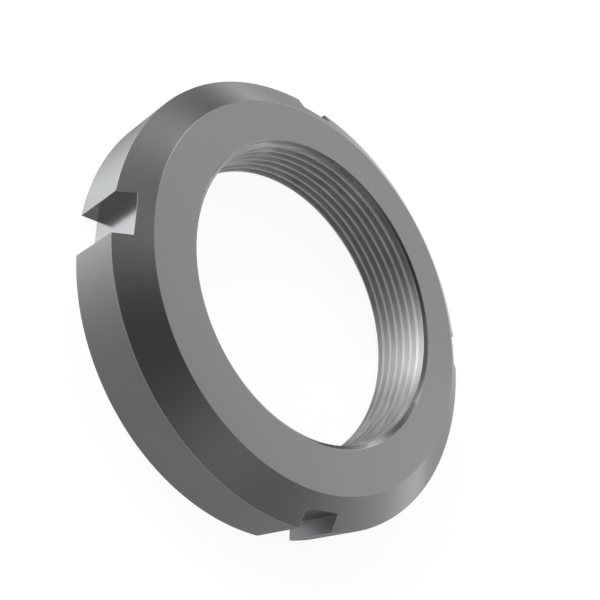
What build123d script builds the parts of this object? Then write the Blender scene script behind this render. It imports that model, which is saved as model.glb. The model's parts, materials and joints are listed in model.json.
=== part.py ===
from build123d import *
from math import radians, tan
import os

# Bearing lock nut, lying flat on its plain back face with its axis along Z.
# Its chamfered locating face, the one that bears on the bearing, is on top. Sizes are in millimetres.

# Turned ring
outer_diameter = 70.0
locating_face_diameter = 61.0
width = 11.0
rim_chamfer_angle = 30.0  # from the locating face

# Threaded bore, at the crests of an M48 x 1.5 thread (class 6H allows 46.376 to 46.676)
crest_diameter = 46.65
countersink_depth = 0.725  # at both ends, along the axis
countersink_angle = 45.0  # from the axis

# Slots in the rim for the hook spanner, one on each of the X and Y axes
slot_count = 4
slot_width = 6.0
slot_depth = 2.5


def turned_ring():
    """The ring as it leaves the lathe: one section turned about the axis."""
    rim_drop = (outer_diameter - locating_face_diameter) / 2 * tan(radians(rim_chamfer_angle))
    crest_radius = crest_diameter / 2
    mouth_radius = crest_radius + countersink_depth * tan(radians(countersink_angle))
    with BuildPart() as ring:
        with BuildSketch(Plane.XZ):
            with BuildLine():
                Polyline(
                    (mouth_radius, 0),
                    (outer_diameter / 2, 0),
                    (outer_diameter / 2, width - rim_drop),
                    (locating_face_diameter / 2, width),
                    (mouth_radius, width),
                    (crest_radius, width - countersink_depth),
                    (crest_radius, countersink_depth),
                    close=True,
                )
            make_face()
        revolve(axis=Axis.Z)
    return ring.part


def spanner_slots():
    """The metal milled away for the hook spanner: flat-bottomed slots from face to face."""
    floor_radius = outer_diameter / 2 - slot_depth
    with BuildPart() as slots:
        with PolarLocations(floor_radius, slot_count):
            Box(
                2 * slot_depth,
                slot_width,
                width,
                align=(Align.MIN, Align.CENTER, Align.MIN),
            )
    return slots.part


def lock_nut():
    """The finished nut, one solid."""
    return turned_ring() - spanner_slots()


os.makedirs("parts", exist_ok=True)
export_step(lock_nut(), "parts/lock_nut.step")
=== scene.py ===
"""A bearing lock nut, dressed for its portrait: turned, slotted and threaded steel on a pale studio floor.

The nut lies on its plain back face with its axis along Z, in metres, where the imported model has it.
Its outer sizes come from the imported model. The edges, the helical thread and the tool marks are made here.
"""

import json
import logging
from collections.abc import Callable
from dataclasses import dataclass, field
from enum import Enum
from math import atan2, ceil, cos, hypot, log, pi, radians, sin, tan

import bmesh
import bpy
from mathutils import Matrix, Vector


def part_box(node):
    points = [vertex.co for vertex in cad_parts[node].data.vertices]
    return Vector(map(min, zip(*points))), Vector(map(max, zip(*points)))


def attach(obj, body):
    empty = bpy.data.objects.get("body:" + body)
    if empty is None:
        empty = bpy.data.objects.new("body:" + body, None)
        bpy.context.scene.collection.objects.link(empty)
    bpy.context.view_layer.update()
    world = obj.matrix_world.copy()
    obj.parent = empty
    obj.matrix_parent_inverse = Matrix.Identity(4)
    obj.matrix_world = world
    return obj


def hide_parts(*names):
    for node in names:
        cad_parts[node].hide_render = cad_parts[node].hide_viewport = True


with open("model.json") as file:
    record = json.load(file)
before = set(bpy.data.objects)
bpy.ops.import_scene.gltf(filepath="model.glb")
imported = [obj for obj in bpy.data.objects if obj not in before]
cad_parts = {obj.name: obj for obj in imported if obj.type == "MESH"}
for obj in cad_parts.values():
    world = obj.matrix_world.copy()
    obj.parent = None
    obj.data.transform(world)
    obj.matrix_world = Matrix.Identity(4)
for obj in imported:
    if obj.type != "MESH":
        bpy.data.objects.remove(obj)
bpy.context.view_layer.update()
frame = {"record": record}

logger = logging.getLogger("lock_nut")

Triple = tuple[float, float, float]
Socket = bpy.types.NodeSocket

NODE = "lock_nut"
BODY = "root"

MM = 0.001
WELD = 0.0005 * MM  # corners nearer than this are one
SHARP = radians(20)  # faces that meet at more than this make an edge
FULL_TURN = 2 * pi


def make_only(piece: bpy.types.Object) -> None:
    """Deselects everything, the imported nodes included, and makes one object selected and active.

    Args:
        piece: the object that the next operators act on.
    """
    bpy.ops.object.select_all(action="DESELECT")
    piece.select_set(True)
    bpy.context.view_layer.objects.active = piece


def settle(piece: bpy.types.Object) -> None:
    """Moves an object's place, turn and scale into its mesh, so that the object itself sits at the origin."""
    make_only(piece)
    bpy.ops.object.transform_apply(location=True, rotation=True, scale=True)


def select_vertices(piece: bpy.types.Object, wanted: Callable[[Vector], bool]) -> None:
    """Selects the vertices that pass a test of their place, and nothing else, in edit mode.

    Args:
        piece: the mesh being edited.
        wanted: says of a vertex's place whether it is wanted.
    """
    bpy.ops.mesh.select_mode(type="VERT")
    bpy.ops.mesh.select_all(action="DESELECT")
    shape = bmesh.from_edit_mesh(piece.data)
    for vertex in shape.verts:
        vertex.select = wanted(vertex.co)
    shape.select_flush(True)
    bmesh.update_edit_mesh(piece.data)


def apply_modifier(piece: bpy.types.Object, name: str) -> None:
    """Applies a piece's modifier of that name."""
    make_only(piece)
    bpy.ops.object.modifier_apply(modifier=name)


def cut_away(piece: bpy.types.Object, tool: bpy.types.Object) -> None:
    """Cuts a tool's solid out of a piece. The cut faces take the tool's finish, and the tool is removed.

    Args:
        piece: the workpiece.
        tool: the solid that is cut away.
    """
    cut = piece.modifiers.new("cut", "BOOLEAN")
    cut.operation = "DIFFERENCE"
    cut.solver = "EXACT"
    cut.material_mode = "TRANSFER"
    cut.object = tool
    apply_modifier(piece, cut.name)
    bpy.data.meshes.remove(tool.data)


@dataclass(frozen=True)
class Wiring:
    """The nodes of a material or of the world, with short ways to add to them.

    Attributes:
        tree: the node tree.
    """

    tree: bpy.types.NodeTree

    def feed(self, target: Socket, source: Socket | float | Triple) -> None:
        """Links an output to an input, or sets the input to a plain value.

        Args:
            target: the input.
            source: the output or the value.
        """
        if isinstance(source, Socket):
            self.tree.links.new(source, target)
        else:
            target.default_value = source

    def number(self, operation: str, *sources: Socket | float) -> Socket:
        """Works out a number from numbers.

        Args:
            operation: what is done with them.
            sources: the numbers, in order.

        Returns:
            The result.
        """
        node = self.tree.nodes.new("ShaderNodeMath")
        node.operation = operation
        for target, source in zip(node.inputs, sources):
            self.feed(target, source)
        return node.outputs["Value"]

    def vector(self, operation: str, *sources: Socket | Triple) -> Socket:
        """Works out a vector from vectors, such as their sum."""
        return self._vector_node(operation, sources).outputs["Vector"]

    def measure(self, operation: str, *sources: Socket | Triple) -> Socket:
        """Works out a number from vectors, such as a length."""
        return self._vector_node(operation, sources).outputs["Value"]

    def scaled(self, vector: Socket | Triple, factor: Socket | float) -> Socket:
        """Multiplies a vector or a colour by a number.

        Args:
            vector: the vector.
            factor: the number.

        Returns:
            The product.
        """
        node = self._vector_node("SCALE", (vector,))
        self.feed(node.inputs["Scale"], factor)
        return node.outputs["Vector"]

    def joined(self, x: Socket | float = 0.0, y: Socket | float = 0.0, z: Socket | float = 0.0) -> Socket:
        """Makes a vector of three numbers.

        Args:
            x: the first.
            y: the second.
            z: the third.

        Returns:
            The vector.
        """
        node = self.tree.nodes.new("ShaderNodeCombineXYZ")
        for target, source in zip(node.inputs, (x, y, z)):
            self.feed(target, source)
        return node.outputs["Vector"]

    def parts(self, vector: Socket) -> bpy.types.NodeOutputs:
        """Takes a vector apart.

        Args:
            vector: the vector.

        Returns:
            Its outputs X, Y and Z.
        """
        node = self.tree.nodes.new("ShaderNodeSeparateXYZ")
        self.feed(node.inputs["Vector"], vector)
        return node.outputs

    def _vector_node(self, operation: str, sources: tuple[Socket | Triple, ...]) -> bpy.types.Node:
        """Adds a vector node.

        Args:
            operation: what it does.
            sources: the vectors that it takes, in order.

        Returns:
            The node.
        """
        node = self.tree.nodes.new("ShaderNodeVectorMath")
        node.operation = operation
        for target, source in zip(node.inputs, sources):
            self.feed(target, source)
        return node


class Lay(Enum):
    """Which way the tool marks of a surface run, by the place that stays the same along a mark."""

    RINGS_BY_RADIUS = "rings of one radius, as a facing tool leaves"
    RINGS_BY_HEIGHT = "rings of one height, as turning along the axis leaves"
    UPRIGHT = "lines along the axis, as a slotting cutter leaves"


@dataclass(frozen=True)
class SteelFinish:
    """Bare steel as one tool leaves it. On several finishes the colour is set darker as painted shade or
    lighter as painted highlight, so that one steel shows as lit and shaded copies.

    Attributes:
        name: the finish's name.
        lay: which way its marks run.
        colour: what the steel sends back, linear; on several finishes darker as painted shade or lighter as
            painted highlight.
        edge_colour: what is left of the glare at a grazing angle; turned down on some finishes as painted
            shade.
        roughness: how dull it is.
        stretch: how much a reflection is drawn out across the marks, from 0 to 1.
        mark_spacing: metres from one fine mark to the next.
        mark_depth: metres from the top of a mark to its bottom.
        mark_detail: how many finer sets of marks lie over the first.
        mark_length: how long an upright mark is, in spacings.
        ring_change: how much a ring of marks changes on its way round.
        unevenness: how far roughness strays from its mean, as a share of it.
    """

    name: str
    lay: Lay
    colour: Triple = (0.315, 0.325, 0.32)
    edge_colour: Triple = (0.6, 0.6, 0.6)
    roughness: float = 0.16
    stretch: float = 0.0
    mark_spacing: float = 0.12 * MM
    mark_depth: float = 0.0002 * MM
    mark_detail: float = 3.0
    mark_length: float = 80.0
    ring_change: float = 5.0
    unevenness: float = 0.15

    def material(self) -> bpy.types.Material:
        """Makes the finish's material.

        Returns:
            The material, its marks drawn on the object's own coordinates.
        """
        made = bpy.data.materials.new(self.name)
        made.use_nodes = True
        wiring = Wiring(made.node_tree)
        steel = made.node_tree.nodes["Principled BSDF"].inputs
        # This colour holds painted shade or painted highlight on several finishes.
        steel["Base Color"].default_value = (*self.colour, 1.0)
        steel["Metallic"].default_value = 1.0
        steel["Specular Tint"].default_value = (*self.edge_colour, 1.0)
        steel["Anisotropic"].default_value = self.stretch
        steel["Anisotropic Rotation"].default_value = 0.25  # a quarter turn, across the marks

        place = made.node_tree.nodes.new("ShaderNodeTexCoord").outputs["Object"]
        marks = self._marks(wiring, place)
        wiring.feed(steel["Roughness"], self._dullness(wiring, marks))
        wiring.feed(steel["Normal"], self._relief(wiring, marks))
        if self.stretch:
            wiring.feed(steel["Tangent"], self._along_rings(wiring, place))
        return made

    def _marks(self, wiring: Wiring, place: Socket) -> Socket:
        """Draws the tool marks.

        Args:
            wiring: the material's nodes.
            place: the point on the object.

        Returns:
            The height of the marks, from 0 to 1.
        """
        noise = wiring.tree.nodes.new("ShaderNodeTexNoise")
        noise.inputs["Scale"].default_value = 1.0
        noise.inputs["Detail"].default_value = self.mark_detail
        wiring.feed(noise.inputs["Vector"], self._across(wiring, place))
        return noise.outputs["Fac"]

    def _across(self, wiring: Wiring, place: Socket) -> Socket:
        """Stretches space so that a noise read there runs in lines along the marks.

        Args:
            wiring: the material's nodes.
            place: the point on the object.

        Returns:
            The point to read the noise at.
        """
        per_mark = 1.0 / self.mark_spacing
        if self.lay is Lay.UPRIGHT:
            return wiring.vector("MULTIPLY", place, (per_mark, per_mark, per_mark / self.mark_length))

        parts = wiring.parts(place)
        flat = wiring.joined(x=parts["X"], y=parts["Y"])
        around = wiring.scaled(wiring.vector("NORMALIZE", flat), self.ring_change)
        constant = wiring.measure("LENGTH", flat) if self.lay is Lay.RINGS_BY_RADIUS else parts["Z"]
        count = wiring.number("MULTIPLY", constant, per_mark)
        return wiring.vector("ADD", around, wiring.joined(z=count))

    def _dullness(self, wiring: Wiring, marks: Socket) -> Socket:
        """Lets the roughness stray from its mean along the marks.

        Args:
            wiring: the material's nodes.
            marks: the height of the marks.

        Returns:
            The roughness.
        """
        stray = self.roughness * self.unevenness
        shift = wiring.tree.nodes.new("ShaderNodeMapRange")
        shift.inputs["From Min"].default_value = 0.3  # nearly all of the noise lies from here
        shift.inputs["From Max"].default_value = 0.7  # to here
        shift.inputs["To Min"].default_value = self.roughness - stray
        shift.inputs["To Max"].default_value = self.roughness + stray
        wiring.feed(shift.inputs["Value"], marks)
        return shift.outputs["Result"]

    def _relief(self, wiring: Wiring, marks: Socket) -> Socket:
        """Gives the marks their depth.

        Args:
            wiring: the material's nodes.
            marks: the height of the marks.

        Returns:
            The surface's direction.
        """
        relief = wiring.tree.nodes.new("ShaderNodeBump")
        relief.inputs["Strength"].default_value = 1.0
        relief.inputs["Distance"].default_value = self.mark_depth
        wiring.feed(relief.inputs["Height"], marks)
        return relief.outputs["Normal"]

    @staticmethod
    def _along_rings(wiring: Wiring, place: Socket) -> Socket:
        """Finds the direction that a turning tool cuts in.

        Args:
            wiring: the material's nodes.
            place: the point on the object.

        Returns:
            The direction round the axis, in the world's frame.
        """
        to_world = wiring.tree.nodes.new("ShaderNodeVectorTransform")
        to_world.vector_type = "VECTOR"
        to_world.convert_from = "OBJECT"
        to_world.convert_to = "WORLD"
        axis = (0.0, 0.0, 1.0)
        wiring.feed(to_world.inputs["Vector"], wiring.vector("CROSS_PRODUCT", axis, place))
        return wiring.vector("NORMALIZE", to_world.outputs["Vector"])


FACED = SteelFinish("faced_steel", Lay.RINGS_BY_RADIUS)
# The rim's colour is darker than the plain steel as painted shade, standing in for the shadowed floor that
# the rim reflects.
TURNED_RIM_PAINTED_SHADE = SteelFinish(
    "turned_rim_painted_shade",
    Lay.RINGS_BY_HEIGHT,
    colour=(0.246, 0.254, 0.25),
    roughness=0.46,
    stretch=1.0,
    unevenness=0.05,
)
# The chamfer's grazing glare is turned down a little as painted shade on the far side of the chamfer.
CHAMFERED = SteelFinish("turned_chamfer_steel", Lay.RINGS_BY_RADIUS, edge_colour=(0.55, 0.55, 0.55))
# The countersink's colour is darker than the plain steel as painted shade, the dark ring at the mouth of the
# bore.
COUNTERSUNK_PAINTED_SHADE = SteelFinish("countersunk_painted_shade", Lay.RINGS_BY_RADIUS, colour=(0.24, 0.247, 0.243))
# The bore's light colour is painted highlight on the thread's crests, on the lit side of the bore.
BORED_PAINTED_HIGHLIGHT = SteelFinish(
    "bored_painted_highlight", Lay.RINGS_BY_HEIGHT, colour=(0.48, 0.478, 0.472), roughness=0.5, stretch=1.0
)
# The thread's light colour is painted highlight on its flanks.
THREADED_PAINTED_HIGHLIGHT = SteelFinish(
    "threaded_painted_highlight",
    Lay.RINGS_BY_HEIGHT,
    colour=(0.52, 0.517, 0.51),
    roughness=0.5,
    stretch=1.0,
    unevenness=0.3,
)
# The wall's near-black colour is painted shade, on the wall and in its reflection in the slot's floor.
UP_MILLED_PAINTED_SHADE = SteelFinish("up_milled_wall_painted_shade", Lay.UPRIGHT, colour=(0.105, 0.107, 0.11))
# This wall's colour is a little darker than the plain steel as painted shade.
CLIMB_MILLED_PAINTED_SHADE = SteelFinish(
    "climb_milled_wall_painted_shade", Lay.UPRIGHT, colour=(0.25, 0.253, 0.26), roughness=0.4
)
# The slot floor's light colour is a painted reflection of bright light; its turned-down grazing glare is
# painted shade along its lower part.
SLOT_FLOOR_PAINTED_HIGHLIGHT = SteelFinish(
    "milled_floor_painted_highlight",
    Lay.RINGS_BY_HEIGHT,
    colour=(0.76, 0.765, 0.78),
    edge_colour=(0.3, 0.3, 0.3),
    roughness=0.2,
)
TURNED_FINISHES = (FACED, TURNED_RIM_PAINTED_SHADE, CHAMFERED, COUNTERSUNK_PAINTED_SHADE, BORED_PAINTED_HIGHLIGHT)
MILLED_FINISHES = (UP_MILLED_PAINTED_SHADE, CLIMB_MILLED_PAINTED_SHADE, SLOT_FLOOR_PAINTED_HIGHLIGHT)


@dataclass
class Thread:
    """The right-hand metric thread in the bore, as the tap that cuts it.

    Attributes:
        crest_radius: the bore at the thread's crests.
        major_radius: the bottom of the thread's groove.
        pitch: metres of travel in one turn.
        flank_angle: the half angle of the groove.
        start_angle: the turn about the axis at which a groove passes through start_height.
        start_height: the groove's height there.
        overlap: how far the tap's rib reaches inwards past the crests.
        spare_turns: turns of the tap past each end of the bore.
        steps: straight steps in one turn.
    """

    crest_radius: float
    major_radius: float = 24.04 * MM
    pitch: float = 1.5 * MM
    flank_angle: float = radians(30)
    start_angle: float = radians(-66)
    start_height: float = 11.0 * MM
    overlap: float = 0.3 * MM
    spare_turns: int = 2
    steps: int = 240

    def tap(self, width: float) -> bpy.types.Object:
        """Makes the helical rib that cuts the groove, from below the nut to above it.

        Args:
            width: the nut's height.

        Returns:
            The rib, a closed solid.
        """
        inner_radius = self.crest_radius - self.overlap
        depth = self.major_radius - inner_radius
        root_flat = self.pitch / 8  # as the metric profile has it
        inner_flat = root_flat + 2 * depth * tan(self.flank_angle)
        turns = ceil(width / self.pitch) + 2 * self.spare_turns
        start = self.start_height + (self.spare_turns - turns) * self.pitch
        middle = (inner_radius + self.major_radius) / 2

        bpy.ops.object.select_all(action="DESELECT")
        bpy.ops.mesh.primitive_plane_add(size=1, location=(middle, 0, start), rotation=(pi / 2, 0, 0))
        rib = bpy.context.active_object
        rib.name = "tap"
        settle(rib)
        bpy.ops.object.mode_set(mode="EDIT")
        bpy.ops.mesh.select_all(action="SELECT")
        bpy.ops.transform.resize(value=(depth, 1, root_flat), center_override=(middle, 0, start))
        select_vertices(rib, lambda place: place.x < middle)
        bpy.ops.transform.resize(value=(1, 1, inner_flat / root_flat), center_override=(middle, 0, start))
        bpy.ops.mesh.select_all(action="SELECT")
        bpy.ops.mesh.delete(type="ONLY_FACE")
        bpy.ops.object.mode_set(mode="OBJECT")

        helix = rib.modifiers.new("helix", "SCREW")
        helix.axis = "Z"
        helix.angle = FULL_TURN
        helix.screw_offset = self.pitch
        helix.iterations = turns
        helix.steps = helix.render_steps = self.steps
        apply_modifier(rib, helix.name)

        bpy.ops.object.mode_set(mode="EDIT")
        bpy.ops.mesh.select_all(action="SELECT")
        bpy.ops.mesh.fill_holes(sides=4)
        bpy.ops.mesh.normals_make_consistent(inside=False)
        bpy.ops.object.mode_set(mode="OBJECT")
        rib.rotation_euler = (0, 0, self.start_angle)
        settle(rib)
        rib.data.materials.append(THREADED_PAINTED_HIGHLIGHT.material())
        return rib


@dataclass
class LockNut:
    """The whole nut, one piece of steel.

    Attributes:
        outer_radius: the rim.
        width: from the back face to the locating face.
        thread: the thread in the bore.
        face_radius: the locating face's edge, where the rim's chamfer starts.
        chamfer_angle: the chamfer's slope from the locating face.
        countersink_depth: along the axis, at both ends of the bore.
        countersink_angle: its slope from the axis.
        slot_width: the spanner slot from wall to wall.
        slot_depth: from the rim to the slot's floor.
        slot_count: slots round the rim.
        edge_break: the small bevel that deburring leaves on every sharp edge.
        edge_steps: flat steps across that bevel.
        segments: straight steps round the ring.
    """

    outer_radius: float
    width: float
    thread: Thread
    face_radius: float = 30.5 * MM
    chamfer_angle: float = radians(30)
    countersink_depth: float = 0.725 * MM
    countersink_angle: float = radians(45)
    slot_width: float = 6.0 * MM
    slot_depth: float = 2.5 * MM
    slot_count: int = 4
    edge_break: float = 0.05 * MM
    edge_steps: int = 2
    segments: int = 240

    def build(self) -> bpy.types.Object:
        """Makes the nut as a workshop would: turned, slotted, deburred and tapped.

        Returns:
            The finished nut at its place.
        """
        nut = self._turn_ring()
        self._finish_turned_faces(nut)
        cut_away(nut, self._slot_cutters())
        self._break_edges(nut)
        cut_away(nut, self.thread.tap(self.width))
        self._clean(nut)
        return nut

    def _turn_ring(self) -> bpy.types.Object:
        """Spins the ring's section about the axis.

        Returns:
            The plain ring, with its rim chamfered and its bore countersunk.
        """
        bore = self.thread.crest_radius
        wall = self.outer_radius - bore
        centre = (bore + wall / 2, 0, self.width / 2)
        bpy.ops.object.select_all(action="DESELECT")
        bpy.ops.mesh.primitive_plane_add(size=1, location=centre, rotation=(pi / 2, 0, 0))
        ring = bpy.context.active_object
        ring.name = "nut"
        settle(ring)
        bpy.ops.object.mode_set(mode="EDIT")
        bpy.ops.mesh.select_all(action="SELECT")
        bpy.ops.transform.resize(value=(wall, 1, self.width), center_override=centre)

        chamfer_out = (sin(self.chamfer_angle), 0, cos(self.chamfer_angle))
        self._trim((self.face_radius, 0, self.width), chamfer_out)
        sink_in, sink_up = -cos(self.countersink_angle), sin(self.countersink_angle)
        self._trim((bore, 0, self.width - self.countersink_depth), (sink_in, 0, sink_up))
        self._trim((bore, 0, self.countersink_depth), (sink_in, 0, -sink_up))

        bpy.ops.mesh.select_all(action="SELECT")
        bpy.ops.mesh.delete(type="ONLY_FACE")
        bpy.ops.mesh.select_all(action="SELECT")
        bpy.ops.mesh.spin(steps=self.segments, angle=FULL_TURN, center=(0, 0, 0), axis=(0, 0, 1))
        bpy.ops.mesh.select_all(action="SELECT")
        bpy.ops.mesh.remove_doubles(threshold=WELD)
        bpy.ops.mesh.normals_make_consistent(inside=False)
        bpy.ops.object.mode_set(mode="OBJECT")
        return ring

    @staticmethod
    def _trim(point: Triple, outward: Triple) -> None:
        """Cuts the section, in edit mode, along a line through a point and drops what lies outward of it."""
        bpy.ops.mesh.select_all(action="SELECT")
        bpy.ops.mesh.bisect(plane_co=point, plane_no=outward, clear_outer=True, threshold=WELD)

    def _finish_turned_faces(self, nut: bpy.types.Object) -> None:
        """Gives each turned surface the finish of the tool that cut it, with the painted shade or painted
        highlight that some finishes carry in their colour.

        Args:
            nut: the plain ring.
        """
        for finish in TURNED_FINISHES:
            nut.data.materials.append(finish.material())
        for face in nut.data.polygons:
            face.material_index = TURNED_FINISHES.index(self._turned_finish(face))

    def _turned_finish(self, face: bpy.types.MeshPolygon) -> SteelFinish:
        """Tells by a face's slope and place which tool turned it.

        Args:
            face: a face of the plain ring.

        Returns:
            Its finish.
        """
        radius = hypot(face.center.x, face.center.y)
        level = abs(face.normal.z)
        if level > cos(SHARP):
            return FACED
        if level > sin(SHARP):
            return CHAMFERED if radius > self.face_radius else COUNTERSUNK_PAINTED_SHADE
        return BORED_PAINTED_HIGHLIGHT if radius < self.thread.crest_radius + WELD else TURNED_RIM_PAINTED_SHADE

    def _slot_cutters(self) -> bpy.types.Object:
        """Makes the blocks of metal that the slotting cutter takes away.

        Returns:
            One object with a block for each slot, the first on the X axis.
        """
        past = 1 * MM
        length = self.slot_depth + past
        floor_radius = self.outer_radius - self.slot_depth
        centre = (floor_radius + length / 2, 0, self.width / 2)
        bpy.ops.object.select_all(action="DESELECT")
        bpy.ops.mesh.primitive_cube_add(size=1, location=centre)
        block = bpy.context.active_object
        block.name = "slot_cutters"
        settle(block)
        for finish in MILLED_FINISHES:
            block.data.materials.append(finish.material())
        for face in block.data.polygons:
            face.material_index = MILLED_FINISHES.index(self._milled_finish(face.normal))
        bpy.ops.object.mode_set(mode="EDIT")
        bpy.ops.mesh.select_all(action="SELECT")
        size = (length, self.slot_width, self.width + 2 * past)
        bpy.ops.transform.resize(value=size, center_override=centre)
        others = self.slot_count - 1
        bpy.ops.mesh.spin(
            steps=others,
            dupli=True,
            angle=FULL_TURN * others / self.slot_count,
            center=(0, 0, 0),
            axis=(0, 0, 1),
        )
        bpy.ops.mesh.select_all(action="SELECT")
        bpy.ops.mesh.normals_make_consistent(inside=False)
        bpy.ops.object.mode_set(mode="OBJECT")
        return block

    @staticmethod
    def _milled_finish(normal: Vector) -> SteelFinish:
        """Tells which finish a side of a block leaves on the steel beside it; the walls' finishes carry
        painted shade and the floor's painted highlight.

        Args:
            normal: where the side of the first block faces.

        Returns:
            The finish.
        """
        facing = tuple(round(part) for part in normal)
        if facing == (-1, 0, 0):
            return SLOT_FLOOR_PAINTED_HIGHLIGHT
        return CLIMB_MILLED_PAINTED_SHADE if facing == (0, 1, 0) else UP_MILLED_PAINTED_SHADE

    def _break_edges(self, nut: bpy.types.Object) -> None:
        """Takes the burr off every sharp edge that stands out. The slots' inner corners stay sharp.

        Args:
            nut: the slotted ring.
        """
        make_only(nut)
        bpy.ops.object.mode_set(mode="EDIT")
        bpy.ops.mesh.select_mode(type="EDGE")
        bpy.ops.mesh.select_all(action="DESELECT")
        shape = bmesh.from_edit_mesh(nut.data)
        for edge in shape.edges:
            edge.select_set(edge.is_convex and edge.calc_face_angle() > SHARP)
        shape.select_flush_mode()
        bmesh.update_edit_mesh(nut.data)
        bpy.ops.mesh.bevel(
            offset=self.edge_break,
            segments=self.edge_steps,
            affect="EDGES",
            material=TURNED_FINISHES.index(CHAMFERED),
        )
        bpy.ops.mesh.select_mode(type="VERT")
        bpy.ops.object.mode_set(mode="OBJECT")

    @staticmethod
    def _clean(nut: bpy.types.Object) -> None:
        """Welds stray corners, points the faces outwards and smooths the round surfaces.

        Args:
            nut: the cut nut.
        """
        make_only(nut)
        bpy.ops.object.mode_set(mode="EDIT")
        bpy.ops.mesh.select_all(action="SELECT")
        bpy.ops.mesh.remove_doubles(threshold=WELD)
        bpy.ops.mesh.normals_make_consistent(inside=False)
        bpy.ops.object.mode_set(mode="OBJECT")
        bpy.ops.object.shade_smooth_by_angle(angle=SHARP)
        flat_first = nut.modifiers.new("flat_first", "WEIGHTED_NORMAL")
        flat_first.keep_sharp = True
        apply_modifier(nut, flat_first.name)


NEUTRAL = (1.0, 1.0, 1.0)
COOL = (1.0, 0.995, 1.04)


@dataclass(frozen=True)
class Glow:
    """A soft patch of light on the studio's dome, brightest in its middle.

    Attributes:
        name: which patch it is, with left and right as the camera has them.
        azimuth: where its middle is, anticlockwise from the camera as seen from above.
        elevation: how high its middle is.
        spread: the angle from its middle at which it has faded to three fifths.
        radiance: how bright its middle is, where 1 is white.
        colour: its tint.
    """

    name: str
    azimuth: float
    elevation: float
    spread: float
    radiance: float
    colour: Triple = NEUTRAL

    def add_to(self, light: Socket, direction: Socket, wiring: Wiring, camera_azimuth: float) -> Socket:
        """Adds the patch to the light of the dome.

        Args:
            light: the light without it.
            direction: the direction looked in.
            wiring: the world's nodes.
            camera_azimuth: where the camera stands, from the X axis.

        Returns:
            The light with it.
        """
        azimuth = camera_azimuth + self.azimuth
        level = cos(self.elevation)
        middle = (level * cos(azimuth), level * sin(azimuth), sin(self.elevation))
        sharpness = 1 / self.spread**2
        nearness = wiring.measure("DOT_PRODUCT", direction, middle)
        fade = wiring.number("MULTIPLY_ADD", nearness, sharpness, log(self.radiance) - sharpness)
        patch = wiring.scaled(self.colour, wiring.number("EXPONENT", fade))
        total = wiring.vector("ADD", light, patch)
        total.node.label = self.name
        return total


GLOWS = (
    Glow("low lamp at the left", radians(-80), radians(0), radians(13), 11.6, COOL),
    Glow("its wide side towards the camera", radians(-60), radians(0), radians(18), 5.6, COOL),
    Glow("its faint side away from the camera", radians(-110), radians(10), radians(9), 0.65),
    Glow("high lamp behind, at the left", radians(-130), radians(40), radians(9), 2.4),
    Glow("low lamp behind", radians(-160), radians(10), radians(9), 2.4, COOL),
    Glow("broad fill high behind", radians(-170), radians(40), radians(18), 0.58),
    Glow("fill behind, at the right", radians(150), radians(22), radians(13), 0.55, COOL),
    Glow("broad fill behind, at the right", radians(140), radians(22), radians(26), 0.49, COOL),
    Glow("faint fill high at the left", radians(-90), radians(60), radians(9), 0.34),
    Glow("faint fill high at the right", radians(70), radians(60), radians(13), 0.18),
)


@dataclass
class Camera:
    """The camera, where the portrait was taken from.

    Attributes:
        station: where it stands.
        aim: the point in the middle of its picture, level with the locating face.
        roll: how far it is turned about its line of sight.
        lens: its focal length, in millimetres.
        sensor_width: in millimetres too.
        nearest: nothing nearer than this shows.
        farthest: nothing farther than this shows.
    """

    station: Triple = (54.018 * MM, -79.422 * MM, 88.836 * MM)
    aim: Triple = (3.599 * MM, -5.297 * MM, 11.0 * MM)
    roll: float = radians(65.861)
    lens: float = 49.87
    sensor_width: float = 36.0
    nearest: float = 5 * MM
    farthest: float = 10.0

    @property
    def azimuth(self) -> float:
        """Where it stands round the nut, anticlockwise from the X axis."""
        return atan2(self.station[1], self.station[0])

    def build(self) -> None:
        """Sets up the camera and makes it the scene's."""
        data = bpy.data.cameras.new("camera")
        data.sensor_width = self.sensor_width
        data.lens = self.lens
        data.clip_start = self.nearest
        data.clip_end = self.farthest
        camera = bpy.data.objects.new("camera", data)
        bpy.context.scene.collection.objects.link(camera)
        station = Vector(self.station)
        level = (station - Vector(self.aim)).to_track_quat("Z", "Y").to_matrix().to_4x4()
        camera.matrix_world = Matrix.Translation(station) @ level @ Matrix.Rotation(self.roll, 4, "Z")
        bpy.context.scene.camera = camera


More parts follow.
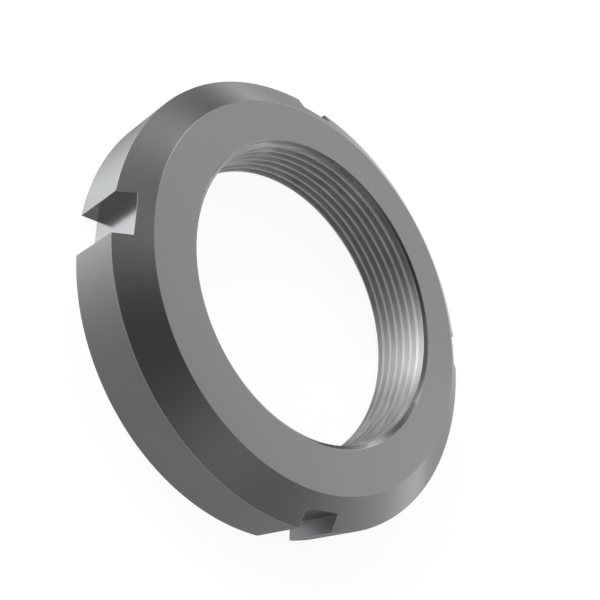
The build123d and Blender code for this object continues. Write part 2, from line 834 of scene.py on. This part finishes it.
@dataclass
class Studio:
    """The pale floor, the lit dome and the camera.

    Attributes:
        floor_radius: how far the floor reaches.
        floor_colour: what the floor sends back.
        floor_sides: straight sides of its round edge.
        page_share: how much of the floor that the camera, metal and glass see is a plain glow.
        page_light: how bright that glow is. With the floor's own share it comes to white.
        dome_light: the radiance of the dome where nothing else lights it.
        haze_light: what the horizon adds to that, all round.
        haze_height: the sine of the elevation at which the haze has faded to about a third.
        camera: the camera.
    """

    floor_radius: float = 1.5
    floor_colour: Triple = (0.9, 0.9, 0.9)
    floor_sides: int = 64
    page_share: float = 0.8
    page_light: float = 1.14
    dome_light: float = 0.1
    haze_light: float = 1.0
    haze_height: float = 0.15
    camera: Camera = field(default_factory=Camera)

    def build(self) -> None:
        """Makes all of the studio."""
        self._floor()
        self._sky()
        self.camera.build()

    def _floor(self) -> None:
        """Lays the floor under the nut."""
        bpy.ops.object.select_all(action="DESELECT")
        bpy.ops.mesh.primitive_circle_add(
            vertices=self.floor_sides, radius=self.floor_radius, fill_type="NGON"
        )
        floor = bpy.context.active_object
        floor.name = "floor"
        floor.data.materials.append(self._floor_paint())

    def _floor_paint(self) -> bpy.types.Material:
        """Makes the floor's paint, which shows as a white page that still takes the nut's shadow.

        Returns:
            The paint.
        """
        paint = bpy.data.materials.new("floor_paint")
        paint.use_nodes = True
        nodes = paint.node_tree.nodes
        wiring = Wiring(paint.node_tree)
        nodes.remove(nodes["Principled BSDF"])
        matt = nodes.new("ShaderNodeBsdfDiffuse")
        matt.inputs["Color"].default_value = (*self.floor_colour, 1.0)
        page = nodes.new("ShaderNodeEmission")
        page.inputs["Strength"].default_value = self.page_light

        rays = nodes.new("ShaderNodeLightPath").outputs
        seen = wiring.number("MAXIMUM", rays["Is Camera Ray"], rays["Is Glossy Ray"])
        seen = wiring.number("MAXIMUM", seen, rays["Is Transmission Ray"])
        mixed = nodes.new("ShaderNodeMixShader")
        wiring.feed(mixed.inputs["Fac"], wiring.number("MULTIPLY", seen, self.page_share))
        wiring.feed(mixed.inputs[1], matt.outputs["BSDF"])
        wiring.feed(mixed.inputs[2], page.outputs["Emission"])
        wiring.feed(nodes["Material Output"].inputs["Surface"], mixed.outputs["Shader"])
        return paint

    def _sky(self) -> None:
        """Lights the dome: a little everywhere, more along the horizon, and most where a lamp would be."""
        world = bpy.data.worlds.new("studio")
        bpy.context.scene.world = world
        world.use_nodes = True
        wiring = Wiring(world.node_tree)
        direction = world.node_tree.nodes.new("ShaderNodeTexCoord").outputs["Generated"]
        light = self._haze(direction, wiring)
        for glow in GLOWS:
            light = glow.add_to(light, direction, wiring, self.camera.azimuth)
        wiring.feed(world.node_tree.nodes["Background"].inputs["Color"], light)

    def _haze(self, direction: Socket, wiring: Wiring) -> Socket:
        """Makes the dome's plain light, which is brightest along the horizon.

        Args:
            direction: the direction looked in.
            wiring: the world's nodes.

        Returns:
            The light.
        """
        height = wiring.parts(direction)["Z"]
        squared = wiring.number("MULTIPLY", height, height)
        fade = wiring.number("MULTIPLY", squared, -1 / self.haze_height**2)
        strength = wiring.number("EXPONENT", fade)
        total = wiring.number("MULTIPLY_ADD", strength, self.haze_light, self.dome_light)
        return wiring.scaled(NEUTRAL, total)


def lock_nut_from_frame() -> LockNut:
    """Reads the nut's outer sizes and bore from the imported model.

    Returns:
        The nut to build.
    """
    low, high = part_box(NODE)
    mounts = {mount["name"]: mount for mount in frame["record"]["mounts"]}
    thread = Thread(crest_radius=mounts["thread"]["dims"]["r_mm"] * MM)
    # The slots open on the X and Y axes, so the node's box stops at their corners.
    outer_radius = hypot(high.x, LockNut.slot_width / 2)
    return LockNut(outer_radius=outer_radius, width=high.z - low.z, thread=thread)


def main() -> None:
    """Builds the nut and its studio, and reports each piece."""
    logging.basicConfig(level=logging.INFO, format="%(name)s: %(message)s")
    nut = lock_nut_from_frame()
    piece = nut.build()
    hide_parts(NODE)
    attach(piece, BODY)
    logger.info("%s: %d faces, rim %.2f mm", piece.name, len(piece.data.polygons), 2 * nut.outer_radius / MM)

    Studio().build()
    bpy.context.scene.view_settings.view_transform = "Standard"


if __name__ == "__main__":
    main()
